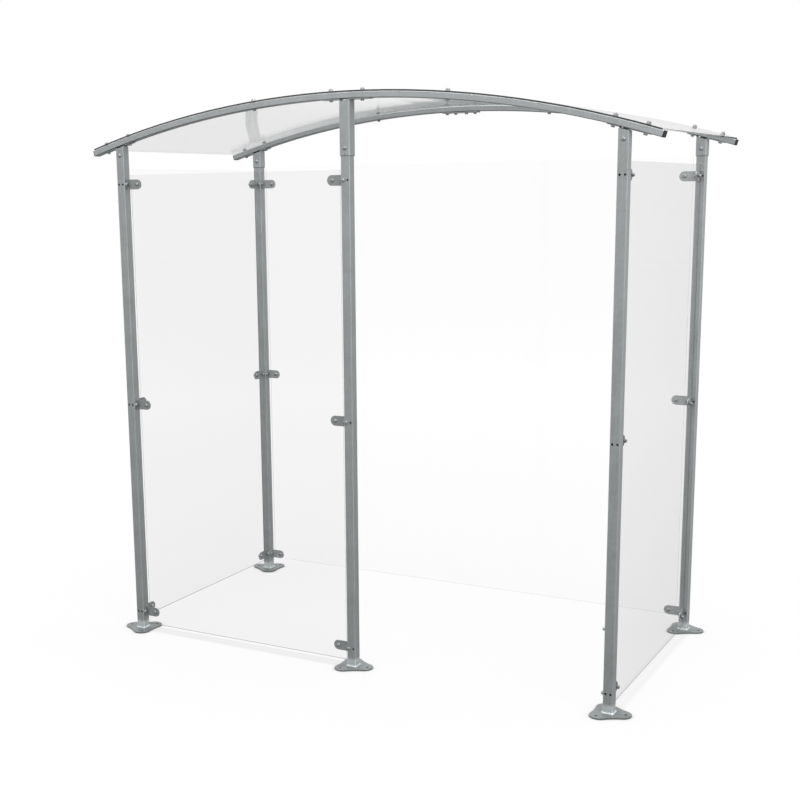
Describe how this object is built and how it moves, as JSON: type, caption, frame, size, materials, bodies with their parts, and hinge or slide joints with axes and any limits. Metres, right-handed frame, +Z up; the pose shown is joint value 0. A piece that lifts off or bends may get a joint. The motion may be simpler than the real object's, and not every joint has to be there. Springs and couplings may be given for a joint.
{
  "type": "smoking shelter",
  "caption": "Open-fronted smoking shelter: galvanised tube frame on trefoil foot plates, clear wall panes held by angle clips, and a clear barrel roof on shallow tube arches.",
  "frame": {"origin": "centre of the footprint on the floor, midway between the end posts and between the front and rear posts", "axes": "+X along the front towards the doorway bay, +Y from front to rear, +Z up"},
  "size_m": [2.5208, 1.2586, 2.3643],
  "materials": {
    "post_steel": "dull galvanised",
    "arch_steel": "dull galvanised",
    "clip_steel": "dull galvanised, slightly darker",
    "cap": "black moulded plastic",
    "clear_sheet": "clear, polished"
  },
  "bodies": {
    "root": {"base_plate_front_left": "post_steel", "base_plate_front_middle": "post_steel", "base_plate_front_right": "post_steel", "base_plate_rear_left": "post_steel", "base_plate_rear_right": "post_steel", "post_front_left": "post_steel", "post_front_middle": "post_steel", "post_front_right": "post_steel", "post_rear_left": "post_steel", "post_rear_right": "post_steel", "head_front_left": "post_steel", "head_front_middle": "post_steel", "head_front_right": "post_steel", "head_rear_left": "post_steel", "head_rear_right": "post_steel", "arch_front_left": "arch_steel", "arch_front_right": "arch_steel", "arch_rear_left": "arch_steel", "arch_rear_right": "arch_steel", "splice_rear": "clip_steel", "roof_sheet": "clear_sheet", "end_cap_front_left": "cap", "end_cap_front_right": "cap", "end_cap_rear_left": "cap", "end_cap_rear_right": "cap", "pane_front_left": "clear_sheet", "pane_left_side": "clear_sheet", "pane_rear": "clear_sheet", "pane_right_side": "clear_sheet", "clips_front_pane_left": "clip_steel", "clips_front_pane_right": "clip_steel", "clips_left_pane_front": "clip_steel", "clips_left_pane_rear": "clip_steel", "clips_rear_pane_left": "clip_steel", "clips_rear_pane_right": "clip_steel", "clips_right_pane_front": "clip_steel", "clips_right_pane_rear": "clip_steel"}
  },
  "joints": []
}
